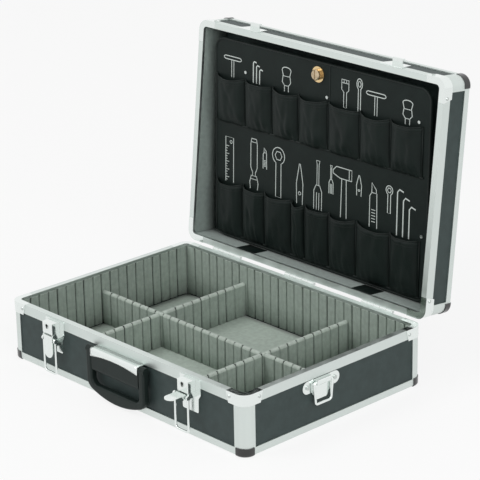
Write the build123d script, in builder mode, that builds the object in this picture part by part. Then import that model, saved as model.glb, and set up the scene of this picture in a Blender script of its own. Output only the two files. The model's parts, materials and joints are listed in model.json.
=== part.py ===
from build123d import *
import os
from math import cos, radians, sin

os.makedirs("parts", exist_ok=True)

# Hard tool case, opened: origin at the middle of the base on the floor, latches at -Y, hinges at +Y

# ---- Driving dimensions (mm) ----
case_width = 458.0
case_depth = 320.0
base_height = 84.5
lid_height = 52.5
lid_open = 96.0
parting_gap = 0.5

# Shell sections
rail_wall = 1.4
rim_height = 13.4
rim_web = 1.6
rim_width = 8.5
base_rim_inner = 2.5
lid_rim_inner = 2.5
edge_size = 11.7
edge_round = 3.0
corner_radius = 14.0
post_leg = 18.4
panel_thick = 3.0
board_thick = 4.0
board_step = 1.5
board_corner = 24.0
foot_height = 1.0
pad_thick = 2.0
cap_sheet = 1.0
cap_leg = 16.0
cap_height = 12.2
bracket_leg = 31.0
bracket_sheet = 0.8
bracket_drop = 2.0
rivet_shank = 1.2
rivet_head = 2.4
rivet_rise = 1.0
rivet_inset = 25.5
bracket_slant = 4.0
groove_pitch = 15.7
groove_width = 2.6
groove_depth = 1.0

# Dividers
divider_below_rim = 28.25
cross_share = 100.0
divider_thick = 7.5
divider_round = 3.0
long_y = -5.0
right_y = -3.0

# Hinges
hinge_pitch = 146.0
stop_below_axis = 8.3
hinge_half = 28.0
leaf_thick = 1.5
barrel_radius = 2.9
pin_radius = 1.5
stop_half = 7.0
stop_thick = 1.6

# Latches
latch_below_rim = 2.25
latch_plate_height = 45.0
latch_shoulder = 20.0
housing_drop = 3.25
housing_height = 15.8
key_drop = 8.25
lever_out = 11.0
lever_drop = 22.75
lever_above_pivot = 1.5
lever_reach = 30.5
strike_above = 2.0
strike_height = 21.5
shelf_above = 17.0
latch_pitch = 267.0
latch_wide = 19.0
latch_narrow = 14.5
plate_thick = 1.2
housing_half = 10.0
housing_proud = 14.5
key_radius = 3.6
lever_half = 9.0
lever_face = 2.9
lobe_radius = 3.0
pin_small = 1.3
crank = 5.0
bail_pin_radius = 1.4
bail_half = 12.0
bail_length = 47.0
bail_bend = 5.0
eye_radius = 3.0
eye_width = 3.0
wire_radius = 1.6
strike_half = 20.0
hook_half = 9.0
hook_reach = 9.0
hook_lip = 3.2

# Handle
mount_out = 12.0
mount_height = 32.6
mount_below_rail = 0.25
trim_height = 9.0
trim_thick = 1.6
trim_below_mount = 1.0
loop_arm = 10.6
arm_gap = 0.4
loop_out = 2.5
loop_drop = 63.5
grip_thick = 17.0
hole_round = 9.0
shoulder_drop = 40.5
pivot_below_mount = 4.1
mount_half = 46.0
loop_depth = 10.0
pivot_radius = 2.0

# Shoulder strap brackets
lobe_below_rail = 9.05
ring_out = 4.0
ring_below_rail = 4.55
strap_y = -28.0
strap_length = 65.0
strap_plate = 1.8
shield_half = 17.0
shield_top = 8.6
shield_low = 20.3
strap_rivet = 24.0
ring_half = 16.5
ring_low_half = 13.5
ring_drop = 29.5
ring_wire = 1.8

# Tool pallet, in its own leaning frame: v runs down to its lower edge
pallet_side_gap = 17.5
pallet_low_gap = 1.5
pallet_top_gap = 10.5
pallet_above_rim = 30.0
seam_margin = 4.0
upper_shares = (0.0, 0.149, 0.288, 0.419, 0.563, 0.715, 0.856, 1.0)
lower_shares = (0.0, 0.139, 0.252, 0.393, 0.458, 0.576, 0.707, 0.866, 1.0)
seam_right_margin = 13.0
pocket_height = 68.2
lower_pocket_height = 79.2
pocket_low = 5.0
upper_pocket_drop = 53.1
pallet_rivet_radius = 2.2
knob_drop = 18.0
knob_radius = 7.5
knob_height = 6.0
ring_disc = 11.0
keeper_width = 12.0
keeper_above_rim = 13.7
strap_near = 95.0
strap_far = 130.0
strap_gap = 0.9
strap_thick = 0.8
pallet_corner = 18.0
pallet_thick = 3.0
pallet_lean = 4.32
pocket_wall = 1.2
pocket_rise = 10.0
backing = 0.9
knob_shaft = 3.0
cam_far = 9.2
cam_length = 20.0
keeper_in = 8.0
keeper_out = 24.0

# Clearances
fit = 0.1
mitre_gap = 0.2
mitre_in = 25.0
mitre_length = 90.0
bore_length = 60.0
running = 0.05
soft_gap = 0.3

# Worked out
half_w = case_width / 2
half_d = case_depth / 2
panel_in = rail_wall + fit
panel_inner = panel_in + panel_thick
closed_height = base_height + lid_height
mate = parting_gap / 2
base_mate = base_height - mate
lid_top = lid_height - mate
hinge_y = half_d + 3.0
hinge_z = base_height + 0.3

tray_floor = foot_height + board_thick + pad_thick
divider_top = base_mate - divider_below_rim
divider_foot = tray_floor + soft_gap
cross_x = cross_share
hinge_places = (-hinge_pitch, 0.0, hinge_pitch)
stop_low = hinge_z - stop_below_axis
rail_low = base_mate - rim_height
latch_x = latch_pitch / 2
latch_top = base_mate - latch_below_rim
latch_low = latch_top - latch_plate_height
housing_top = base_mate - housing_drop
housing_low = housing_top - housing_height
key_z = base_mate - key_drop
lever_y = -half_d - lever_out
lever_z = base_mate - lever_drop
lever_top = lever_z + lever_above_pivot
lever_low = lever_z - lever_reach
strike_low = base_height + strike_above
strike_high = strike_low + strike_height
shelf_z = base_height + shelf_above
mount_front = half_d + mount_out
mount_high = rail_low - mount_below_rail
mount_low = mount_high - mount_height
trim_half = mount_half + fit
trim_top = mount_high - trim_below_mount
trim_low = trim_top - trim_height
pivot_z = mount_high - pivot_below_mount
loop_inner = mount_half + arm_gap
loop_half = loop_inner + loop_arm
loop_back = half_d + loop_out
pivot_y = -loop_back - loop_depth / 2
loop_low = pivot_z - loop_drop
turn_x = loop_half - 9.0
turn_z = loop_low + 9.5
hole_low = loop_low + grip_thick
loop_shoulder = pivot_z - shoulder_drop
lobe_z = rail_low - lobe_below_rail
ring_x = half_w + ring_out
ring_z = rail_low - ring_below_rail
pallet_half = half_w - rim_width - pallet_side_gap
pallet_low_y = half_d - rim_width - pallet_low_gap
pallet_low_z = base_height + pallet_above_rim
pallet_length = (pallet_low_y + half_d - rim_width - pallet_top_gap) / cos(radians(pallet_lean))
seam_span = 2 * pallet_half - seam_margin - seam_right_margin
upper_seams = [-pallet_half + seam_margin + share * seam_span for share in upper_shares]
lower_seams = [-pallet_half + seam_margin + share * seam_span for share in lower_shares]
upper_mouth = -pallet_length + upper_pocket_drop
upper_bottom = upper_mouth + pocket_height
lower_bottom = -pocket_low
lower_mouth = lower_bottom - lower_pocket_height
knob_v = -pallet_length + knob_drop
knob_y = pallet_low_y + knob_v * cos(radians(pallet_lean))
pallet_rivet_places = (
    (upper_seams[1], upper_mouth - 11),
    (upper_seams[4] - 3, upper_mouth - 6.5),
    (upper_seams[7] - 7, upper_mouth - 6.5),
    (lower_seams[8] + 3, lower_mouth - 7.8),
)
keeper_ys = (knob_y - keeper_width / 2, knob_y + keeper_width / 2)
keeper_z = base_height + keeper_above_rim
strap_in = half_d - rim_width - strap_gap

# The lid is drawn closed, upside down in its own frame, and swung open about the hinge
swing = Location((0, hinge_y, hinge_z), (-lid_open, 0, 0)) * Location((0, -hinge_y, -hinge_z))
base = Plane.XY
lid_closed = Plane(swing)
lid = Plane(swing * Location((0, 0, closed_height), (0, 180, 0)))


def spot(frame, x, y, z, turn=(0, 0, 0)):
    """A place in a frame."""
    return frame.location * Location((x, y, z), turn)


def block(frame, xs, ys, zs, mode=Mode.ADD):
    """A box between limits."""
    middle = spot(frame, sum(xs) / 2, sum(ys) / 2, sum(zs) / 2)
    with Locations(middle):
        Box(abs(xs[1] - xs[0]), abs(ys[1] - ys[0]), abs(zs[1] - zs[0]), mode=mode)


def rod(frame, centre, axis, radius, length, mode=Mode.ADD):
    """A round bar along X, Y or Z, by its middle."""
    turns = {"X": (0, 90, 0), "Y": (90, 0, 0), "Z": (0, 0, 0)}
    with Locations(spot(frame, *centre, turns[axis])):
        Cylinder(radius, length, mode=mode)


def prism(frame, plane, points, lo, hi, mode=Mode.ADD):
    """An outline by its corners, drawn on a local plane and extruded from lo to hi."""
    sheet = Plane(frame.location * plane.offset(lo).location)
    with BuildSketch(sheet) as outline:
        Polygon(*points, align=None)
    extrude(outline.sketch, amount=hi - lo, dir=sheet.z_dir, mode=mode)


def round_box(frame, inset, radius, zs, mode=Mode.ADD):
    """An upright box over the whole case less an inset, with rounded corners."""
    sheet = Plane(spot(frame, 0, 0, zs[0]))
    with BuildSketch(sheet) as outline:
        RectangleRounded(case_width - 2 * inset, case_depth - 2 * inset, radius)
    extrude(outline.sketch, amount=zs[1] - zs[0], dir=sheet.z_dir, mode=mode)


def mitres(frame, top):
    """Cut a ring into four rails at its corners."""
    for sx, sy in corners():
        middle = (sx * (half_w - mitre_in), sy * (half_d - mitre_in), top / 2)
        with Locations(spot(frame, *middle, (0, 0, 45 * sx * sy))):
            Box(mitre_length, mitre_gap, top + 40, mode=Mode.SUBTRACT)


def active_edges():
    """Edges of the piece being built."""
    return BuildPart._get_context().edges()


def corners():
    """The four corners as sign pairs."""
    return [(sx, sy) for sx in (1, -1) for sy in (1, -1)]


# ---- Shell pieces, shared by base and lid ----
def wall_panel(frame, side, top):
    """One wall panel between the rails."""
    zs = (foot_height + board_step, top - rim_web - fit)
    reach_x = half_w - corner_radius - 1.0
    reach_y = half_d - corner_radius - 1.0
    if side in ("front", "back"):
        sy = -1 if side == "front" else 1
        block(frame, (-reach_x, reach_x), (sy * (half_d - panel_in), sy * (half_d - panel_inner)), zs)
    else:
        sx = -1 if side == "left" else 1
        block(frame, (sx * (half_w - panel_in), sx * (half_w - panel_inner)), (-reach_y, reach_y), zs)


def board(frame):
    """Main board with a stepped edge for the rails and rounded lower corners."""
    step = foot_height + board_step
    round_box(frame, panel_inner + fit, corner_radius - panel_inner, (step, foot_height + board_thick))
    round_box(frame, edge_size + fit, board_corner, (foot_height, step))


def rim_ring(frame, top, inner_depth, rivet_spots):
    """Channel rim: outer wall, web on the mating face and inner wall, cut at the corners."""
    round_box(frame, 0, corner_radius, (top - rim_height, top))
    under = top - rim_web
    round_box(frame, rail_wall, corner_radius - rail_wall, (top - rim_height - 1, under), Mode.SUBTRACT)
    inner_r = corner_radius - rim_width
    round_box(frame, rim_width - rail_wall, inner_r + rail_wall, (under - inner_depth, under))
    round_box(frame, rim_width, inner_r, (top - rim_height - 1, top + 1), Mode.SUBTRACT)
    for sx, sy in corners():
        bracket_plate(frame, top, sx, sy, fit, Mode.SUBTRACT)
    mitres(frame, top)
    rivet_holes(frame, rivet_spots)


def bracket_plate(frame, top, sx, sy, grow, mode):
    """The corner bracket's plate on the mating face."""
    leg = bracket_leg + grow
    zs = (top - bracket_sheet, top + (1 if grow else 0))
    cx, cy = sx * half_w, sy * half_d
    block(frame, (cx, cx - sx * leg), (cy, cy - sy * (rim_width + grow)), zs, mode)
    block(frame, (cx, cx - sx * (rim_width + grow)), (cy, cy - sy * leg), zs, mode)
    block(frame, (cx, cx - sx * corner_radius), (cy, cy - sy * corner_radius), zs, mode)


def rivet_holes(frame, spots):
    """Shank holes."""
    for x, y, z, axis in spots:
        rod(frame, (x, y, z), axis, rivet_shank + running, 8.0, Mode.SUBTRACT)


def rim_rivets(top):
    """Rivet places on the rim brackets: outer surface points and directions."""
    z = top - rim_height / 2
    along_x = half_w - rivet_inset
    along_y = half_d - rivet_inset
    spots = [(sx * along_x, sy * half_d, z, "Y") for sx, sy in corners()]
    return spots + [(sx * half_w, sy * along_y, z, "X") for sx, sy in corners()]


def rivets(frame, spots):
    """Domed heads outside the brackets, each with a shank through the rail."""
    for x, y, z, axis in spots:
        sx = (1 if x > 0 else -1) if axis == "X" else 0
        sy = (1 if y > 0 else -1) if axis == "Y" else 0
        out = bracket_sheet + rivet_rise / 2
        rod(frame, (x + sx * out, y + sy * out, z), axis, rivet_head, rivet_rise)
        shank = bracket_sheet + rail_wall
        back = shank / 2 - bracket_sheet
        rod(frame, (x - sx * back, y - sy * back, z), axis, rivet_shank, shank)
    chamfer(head_rims(frame), rivet_rise * 0.6)


def head_rims(frame):
    """Outer rims of the rivet heads."""
    rims = [e for e in active_edges().filter_by(GeomType.CIRCLE) if e.radius > (rivet_shank + rivet_head) / 2]
    places = [(e, frame.to_local_coords(e.arc_center)) for e in rims]
    far = bracket_sheet + rivet_rise / 2
    return [e for e, at in places if max(abs(at.X) - half_w, abs(at.Y) - half_d) > far]


def rim_brackets(frame, top, rivet_spots):
    """Corner brackets: plate on the mating face and a flange outside the rail and post."""
    low = top - rim_height - bracket_drop
    round_box(frame, -bracket_sheet, corner_radius + bracket_sheet, (low, top))
    round_box(frame, 0, corner_radius, (low - 1, top - bracket_sheet), Mode.SUBTRACT)
    round_box(frame, rim_width, corner_radius - rim_width, (top - 2, top + 1), Mode.SUBTRACT)
    end_x = half_w - bracket_leg
    end_y = half_d - bracket_leg
    lower = top - rim_height - bracket_drop - 1
    for end, plane in ((end_x, Plane.XZ), (end_y, Plane.YZ)):
        slant = end + bracket_slant
        right = [(end, top + 1), (end, top - 1), (slant, lower)]
        ends = right + [(-a, b) for a, b in reversed(right)]
        prism(frame, plane, ends, -case_width, case_width, Mode.SUBTRACT)
    rivet_holes(frame, rivet_spots)


def edge_core(frame, inset, radius, zs, lower_round):
    """A rounded box whose lower outer edge is rounded too."""
    with BuildPart() as core:
        round_box(frame, inset, radius, zs)
        up = Axis(frame.origin, frame.z_dir)
        fillet(core.edges().group_by(up)[0], lower_round)
    return core.part


def edge_rails(frame, core):
    """Angle rails round the outer edge of the board, cut at the corners."""
    add(core)
    step = foot_height + rail_wall
    round_box(frame, rail_wall, corner_radius - rail_wall, (step, edge_size + 1), Mode.SUBTRACT)
    round_box(frame, edge_size, 2.0, (0, edge_size + 1), Mode.SUBTRACT)
    mitres(frame, edge_size)


def corner_posts(frame, top):
    """Rounded angles standing at the four corners between the edge rails and the rim."""
    zs = (edge_size + fit, top - rim_height - fit)
    round_box(frame, 0, corner_radius, zs)
    round_box(frame, rail_wall, corner_radius - rail_wall, (0, top), Mode.SUBTRACT)
    gap_x = half_w - post_leg
    gap_y = half_d - post_leg
    block(frame, (-gap_x, gap_x), (-half_d - 1, half_d + 1), (0, top), Mode.SUBTRACT)
    block(frame, (-half_w - 1, half_w + 1), (-gap_y, gap_y), (0, top), Mode.SUBTRACT)


def cap_solids(frame):
    """The blocks that bound the four corner caps."""
    with BuildPart() as bounds:
        for sx, sy in corners():
            xs = (sx * (half_w - cap_leg), sx * (half_w + 5))
            block(frame, xs, (sy * (half_d - cap_leg), sy * (half_d + 5)), (-1, cap_height))
    return bounds.part


def liners(frame, top, inner_depth, grooved):
    """Foam sheets on the four walls, under the rim's inner wall."""
    zs = (tray_floor + fit, top - rim_web - inner_depth - fit)
    inner_x = half_w - rim_width
    inner_y = half_d - rim_width
    outer_x = half_w - panel_inner - fit
    outer_y = half_d - panel_inner - fit
    for s in (1, -1):
        block(frame, (-inner_x + fit, inner_x - fit), (s * inner_y, s * outer_y), zs)
        block(frame, (s * inner_x, s * outer_x), (-inner_y + fit, inner_y - fit), zs)
    if grooved:
        cut_grooves(frame, (-inner_x, inner_x), (-inner_y, -inner_y), zs, "X")
        cut_grooves(frame, (-inner_x, inner_x), (inner_y, inner_y), zs, "X")
        cut_grooves(frame, (-inner_x, -inner_x), (-inner_y, inner_y), zs, "Y")
        cut_grooves(frame, (inner_x, inner_x), (-inner_y, inner_y), zs, "Y")


def cut_grooves(frame, xs, ys, zs, along):
    """Upright grooves at the foam's pitch along a face."""
    start, end = xs if along == "X" else ys
    count = int((end - start - groove_pitch) / groove_pitch)
    first = (start + end) / 2 - groove_pitch * (count - 1) / 2
    upright = (zs[0] - 1, zs[1] + 1)
    for n in range(count):
        at = first + n * groove_pitch
        across = (at - groove_width / 2, at + groove_width / 2)
        if along == "X":
            block(frame, across, (ys[0] - groove_depth, ys[0] + groove_depth), upright, Mode.SUBTRACT)
        else:
            block(frame, (xs[0] - groove_depth, xs[0] + groove_depth), across, upright, Mode.SUBTRACT)


# ---- Base shell ----
base_spots = rim_rivets(base_mate)
base_edge_core = edge_core(base, 0, corner_radius, (foot_height, edge_size), edge_round)
base_cap_core = edge_core(base, -running, corner_radius, (foot_height - running, 40), edge_round)
base_cap_skin = edge_core(base, -cap_sheet, corner_radius + cap_sheet, (0, 40), edge_round + cap_sheet)
base_bounds = cap_solids(base)

with BuildPart() as base_bottom_panel:
    board(base)
with BuildPart() as base_front_panel:
    wall_panel(base, "front", base_mate)
with BuildPart() as base_back_panel:
    wall_panel(base, "back", base_mate)
with BuildPart() as base_left_panel:
    wall_panel(base, "left", base_mate)
with BuildPart() as base_right_panel:
    wall_panel(base, "right", base_mate)
with BuildPart() as base_rim_rails:
    rim_ring(base, base_mate, base_rim_inner, base_spots)
with BuildPart() as base_edge_rails:
    edge_rails(base, base_edge_core)
with BuildPart() as base_corner_posts:
    corner_posts(base, base_mate)
with BuildPart() as base_ball_corners:
    add(base_cap_skin)
    add(base_cap_core, mode=Mode.SUBTRACT)
    add(base_bounds, mode=Mode.INTERSECT)
with BuildPart() as base_rim_brackets:
    rim_brackets(base, base_mate, base_spots)
with BuildPart() as base_rivets:
    rivets(base, base_spots)
with BuildPart() as base_liners:
    liners(base, base_mate, base_rim_inner, True)
with BuildPart() as floor_pad:
    pad_in = rim_width
    pad_low = foot_height + board_thick + running
    pad_x, pad_y = half_w - pad_in, half_d - pad_in
    block(base, (-pad_x, pad_x), (-pad_y, pad_y), (pad_low, tray_floor))

# ---- Lid shell ----
lid_spots = rim_rivets(lid_top)
lid_edge_core = edge_core(lid, 0, corner_radius, (foot_height, edge_size), edge_round)
lid_cap_core = edge_core(lid, -running, corner_radius, (foot_height - running, 40), edge_round)
lid_cap_skin = edge_core(lid, -cap_sheet, corner_radius + cap_sheet, (0, 40), edge_round + cap_sheet)
lid_bounds = cap_solids(lid)

with BuildPart() as lid_top_panel:
    board(lid)
with BuildPart() as lid_front_panel:
    wall_panel(lid, "front", lid_top)
with BuildPart() as lid_back_panel:
    wall_panel(lid, "back", lid_top)
with BuildPart() as lid_side_panels:
    wall_panel(lid, "right", lid_top)
    wall_panel(lid, "left", lid_top)
with BuildPart() as lid_rim_rails:
    rim_ring(lid, lid_top, lid_rim_inner, lid_spots)
with BuildPart() as lid_edge_rails:
    edge_rails(lid, lid_edge_core)
with BuildPart() as lid_corner_posts:
    corner_posts(lid, lid_top)
with BuildPart() as lid_ball_corners:
    add(lid_cap_skin)
    add(lid_cap_core, mode=Mode.SUBTRACT)
    add(lid_bounds, mode=Mode.INTERSECT)
with BuildPart() as lid_rim_brackets:
    rim_brackets(lid, lid_top, lid_spots)
with BuildPart() as lid_rivets:
    rivets(lid, lid_spots)
with BuildPart() as lid_lining:
    liners(lid, lid_top, lid_rim_inner, False)


# ---- Dividers ----
def divider(xs, ys):
    """One foam divider with rounded top edges and upright grooves on both faces."""
    block(base, xs, ys, (divider_foot, divider_top))
    along = "X" if xs[1] - xs[0] > ys[1] - ys[0] else "Y"
    top = [e for e in active_edges() if abs(e.center().Z - divider_top) < 0.01]
    long_edges = [e for e in top if e.length > divider_thick + 1]
    fillet(long_edges, divider_round)
    zs = (divider_foot, divider_top)
    if along == "X":
        cut_grooves(base, xs, (ys[0], ys[0]), zs, "X")
        cut_grooves(base, xs, (ys[1], ys[1]), zs, "X")
    else:
        cut_grooves(base, (xs[0], xs[0]), ys, zs, "Y")
        cut_grooves(base, (xs[1], xs[1]), ys, zs, "Y")


tray_x = half_w - rim_width - soft_gap
tray_y = half_d - rim_width - soft_gap
half_t = divider_thick / 2

with BuildPart() as divider_cross:
    divider((cross_x - half_t, cross_x + half_t), (-tray_y, tray_y))
with BuildPart() as divider_long:
    divider((-tray_x, cross_x - half_t - soft_gap), (long_y - half_t, long_y + half_t))
with BuildPart() as divider_right:
    divider((cross_x + half_t + soft_gap, tray_x), (right_y - half_t, right_y + half_t))
with BuildPart() as divider_front:
    divider((-cross_x - half_t, -cross_x + half_t), (-tray_y, long_y - half_t - soft_gap))
with BuildPart() as divider_back:
    divider((-cross_x - half_t, -cross_x + half_t), (long_y + half_t + soft_gap, tray_y))


# ---- Hinges ----
def hinge_leaf(frame, middle, lower, upper, numbers, knuckle_z):
    """A leaf on the back rail with its own knuckles of the five."""
    block(frame, (middle - hinge_half, middle + hinge_half), leaf_ys, (lower, upper))
    pitch = 2 * hinge_half / 5
    for n in numbers:
        at = middle - hinge_half + pitch * (n + 0.5)
        reach = (pitch - mitre_gap) / 2
        block(frame, (at - reach, at + reach), leaf_ys, (min(knuckle_z, lower), max(knuckle_z, upper)))
        rod(frame, (at, hinge_y, hinge_z), "X", barrel_radius, 2 * reach)
    rod(frame, (middle, hinge_y, hinge_z), "X", pin_radius + running, 3 * hinge_half, Mode.SUBTRACT)


def stop_tab(middle):
    """A J-shaped stop under the opened lid leaf."""
    across = (middle - stop_half, middle + stop_half)
    block(base, across, (leaf_ys[0], stop_ys[1]), (stop_low, stop_low + stop_thick))
    block(base, across, stop_ys, (stop_low, hinge_z + 4))
    block(lid_closed, across, (leaf_ys[1] - 12, leaf_ys[1] + 0.02), (hinge_z, hinge_z + 30), Mode.SUBTRACT)


leaf_low = base_mate - rim_height + 0.6
leaf_near = hinge_z - barrel_radius - mitre_gap
lid_leaf_near = hinge_z + barrel_radius + mitre_gap
lid_leaf_far = lid_leaf_near + leaf_near - leaf_low
leaf_ys = (half_d + running, half_d + running + leaf_thick)
stop_ys = (hinge_y + 7.5, hinge_y + 7.5 + stop_thick)

with BuildPart() as hinge_base_leaves:
    for middle in hinge_places:
        hinge_leaf(base, middle, leaf_low, leaf_near, (0, 2, 4), hinge_z)
        stop_tab(middle)
with BuildPart() as hinge_lid_leaves:
    for middle in hinge_places:
        hinge_leaf(lid_closed, middle, lid_leaf_near, lid_leaf_far, (1, 3), hinge_z)
with BuildPart() as hinge_pins:
    for middle in hinge_places:
        rod(base, (middle, hinge_y, hinge_z), "X", pin_radius, 2 * hinge_half)


# ---- Latches ----
def latch_plate(x):
    """Shouldered back plate over the rail, thicker below it down to the panel."""
    sheet = Plane.XZ.offset(half_d + running)
    with BuildSketch(sheet) as outline:
        with Locations((x, 0)):
            Polygon(*plate_outline(latch_top), align=None)
        fillet(outline.vertices(), 2.0)
    extrude(outline.sketch, amount=plate_thick, dir=sheet.z_dir)
    low_sheet = Plane.XZ.offset(half_d - panel_in + running)
    with BuildSketch(low_sheet) as lower:
        with Locations((x, 0)):
            Polygon(*plate_outline(rail_low - 2 * fit), align=None)
        fillet(lower.vertices(), 2.0)
    extrude(lower.sketch, amount=panel_in, dir=low_sheet.z_dir)


def plate_outline(top):
    """Half outline mirrored: wide above the shoulder, narrow below it."""
    shoulder = latch_top - latch_shoulder
    right = [(latch_wide, top), (latch_wide, shoulder)]
    right += [(latch_narrow + 0.5, shoulder - 6), (latch_narrow, latch_low)]
    return right + [(-a, b) for a, b in reversed(right)]


def latch_housing(x):
    """Key housing with its bore, and cheeks round the lever pin."""
    back_y = -half_d - plate_thick - 2 * running
    face_y = -half_d - housing_proud
    block(base, (x - housing_half, x + housing_half), (face_y, back_y), (housing_low, housing_top))
    front = [e for e in active_edges() if abs(e.center().Y - face_y) < 0.01 and abs(e.center().X - x) < 11]
    fillet(front, 1.5)
    rod(base, (x, face_y, key_z), "Y", key_radius + running, 16.0, Mode.SUBTRACT)
    for s in (1, -1):
        cheek = (x + s * (lever_half + fit), x + s * (housing_half + 0.2))
        block(base, cheek, (lever_y, back_y), (lever_z - lobe_radius, housing_low + 1))
        rod(base, ((cheek[0] + cheek[1]) / 2, lever_y, lever_z), "X", lobe_radius, abs(cheek[1] - cheek[0]))
    across = (x - housing_half - 1, x + housing_half + 1)
    block(base, across, (lever_y - 6, lever_y), (lever_z + lobe_radius, housing_low), Mode.SUBTRACT)
    rod(base, (x, lever_y, lever_z), "X", pin_small + running, bore_length, Mode.SUBTRACT)


def lock_cylinder(x):
    """Key cylinder with a keyway, flush with the housing face."""
    face_y = -half_d - housing_proud
    rod(base, (x, face_y + 3.9, key_z), "Y", key_radius, 8.2)
    block(base, (x - 0.6, x + 0.6), (face_y - 1, face_y + 3), (key_z - 2.4, key_z + 2.4), Mode.SUBTRACT)
    rod(base, (x, face_y, key_z + 1), "Y", 1.4, 6.0, Mode.SUBTRACT)


def lever(frame, x):
    """Draw lever: a channel with a rounded tip, hinged at its top."""
    face = -lever_y + lever_face
    with BuildSketch(Plane(frame.location * Plane.XZ.offset(face - 1.0).location)) as outline:
        with Locations((x, (lever_top + lever_low) / 2)):
            RectangleRounded(2 * lever_half, lever_top - lever_low, 1.2)
        with Locations((x, lever_low + lever_half)):
            Circle(lever_half)
            below = (Align.CENTER, Align.MAX)
            Rectangle(2 * lever_half + 2, 2 * lever_half + 2, align=below, mode=Mode.SUBTRACT)
        with Locations((x, lever_low + lever_half)):
            Circle(lever_half)
    normal = Plane(frame.location * Plane.XZ.location).z_dir
    extrude(outline.sketch, amount=1.0, dir=normal)
    for s in (1, -1):
        wall_x = (x + s * (lever_half - 1.2), x + s * lever_half)
        block(frame, wall_x, (lever_y - lever_face + 0.5, lever_y + 2.5), (lever_low + 8, lever_z))
        middle = (wall_x[0] + wall_x[1]) / 2
        rod(frame, (middle, lever_y, lever_z), "X", lobe_radius - 0.2, 1.2)
    rod(frame, (x, lever_y, lever_z), "X", pin_small + running, bore_length, Mode.SUBTRACT)
    rod(frame, (x, lever_y, lever_z - crank), "X", bail_pin_radius + running, bore_length, Mode.SUBTRACT)


def bail(x, y, z):
    """Wire loop hanging from its pin by two eyes."""
    low = z - bail_length
    for s in (1, -1):
        leg_x = x + s * bail_half
        rod(base, (leg_x, y, z), "X", eye_radius, eye_width)
        rod(base, (leg_x, y, (z + low + bail_bend) / 2), "Z", wire_radius, z - low - bail_bend)
        with BuildLine() as bend_line:
            start = (leg_x, y, low + bail_bend)
            end = (leg_x - s * bail_bend, y, low)
            middle = (leg_x - s * bail_bend * 0.293, y, low + bail_bend * 0.293)
            ThreePointArc(start, middle, end)
        with BuildSketch(Plane(origin=start, z_dir=(0, 0, -1))) as section:
            Circle(wire_radius)
        sweep(section.sketch, path=bend_line.line)
    rod(base, (x, y, low), "X", wire_radius, 2 * (bail_half - bail_bend))
    rod(base, (x, y, z), "X", bail_pin_radius + running, bore_length, Mode.SUBTRACT)


def strike(x):
    """Plate on the lid front with a hook for the bail's bar."""
    upper = strike_half - 3
    plate = [(x - strike_half, strike_low), (x + strike_half, strike_low)]
    plate += [(x + upper, strike_high), (x - upper, strike_high)]
    prism(lid_closed, Plane.XZ, plate, half_d + running, half_d + running + plate_thick)
    hook = (x - hook_half, x + hook_half)
    tip = -half_d - hook_reach
    block(lid_closed, hook, (tip, -half_d - 1), (shelf_z - 1.4, shelf_z))
    block(lid_closed, hook, (tip, tip + 1.4), (shelf_z - 1.4, shelf_z + hook_lip))


raise_lever = Location((0, lever_y, lever_z), (-90, 0, 0)) * Location((0, -lever_y, -lever_z))
lever_raised = Plane(raise_lever)
bail_left_at = (lever_y, lever_z - crank)
bail_right_at = (lever_y - crank, lever_z)

with BuildPart() as latch_plates:
    latch_plate(-latch_x)
    latch_plate(latch_x)
with BuildPart() as latch_housings:
    latch_housing(-latch_x)
    latch_housing(latch_x)
with BuildPart() as lock_left:
    lock_cylinder(-latch_x)
with BuildPart() as lock_right:
    lock_cylinder(latch_x)
with BuildPart() as lever_left:
    lever(base, -latch_x)
with BuildPart() as lever_right:
    lever(lever_raised, latch_x)
with BuildPart() as lever_pins:
    for s in (1, -1):
        rod(base, (s * latch_x, lever_y, lever_z), "X", pin_small, 2 * housing_half + 0.4)
with BuildPart() as bail_pin_left:
    rod(base, (-latch_x, *bail_left_at), "X", bail_pin_radius, 2 * bail_half + eye_width)
with BuildPart() as bail_pin_right:
    rod(base, (latch_x, *bail_right_at), "X", bail_pin_radius, 2 * bail_half + eye_width)
with BuildPart() as bail_left:
    bail(-latch_x, *bail_left_at)
with BuildPart() as bail_right:
    bail(latch_x, *bail_right_at)
with BuildPart() as latch_strikes:
    strike(-latch_x)
    strike(latch_x)


# ---- Handle ----
with BuildPart() as handle_mount:
    mount_back = half_d - panel_in + running
    block(base, (-mount_half, mount_half), (-mount_front, -mount_back), (mount_low, mount_high))
    lower_front = handle_mount.edges().filter_by(Axis.X).group_by(Axis.Y)[0].group_by(Axis.Z)[0]
    fillet(lower_front, 6.0)
    for s in (1, -1):
        rod(base, (s * mount_half, pivot_y, pivot_z), "X", pivot_radius + running, 12.4, Mode.SUBTRACT)
with BuildPart() as handle_pins:
    for s in (1, -1):
        rod(base, (s * (mount_half + 2), pivot_y, pivot_z), "X", pivot_radius, 15.6)
with BuildPart() as handle_trim:
    with BuildSketch(Plane.XZ.offset(mount_front + running)) as trim_face:
        with BuildLine():
            Line((-trim_half, trim_low), (-trim_half, trim_top))
            Line((-trim_half, trim_top), (trim_half, trim_top))
            Line((trim_half, trim_top), (trim_half, trim_low))
            ThreePointArc((trim_half, trim_low), (0, trim_low + 2), (-trim_half, trim_low))
        make_face()
    extrude(amount=trim_thick)
    upper = handle_trim.edges().filter_by(Axis.X).group_by(Axis.Z)[-1].group_by(Axis.Y)[0]
    fillet(upper, trim_thick * 0.8)
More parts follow.
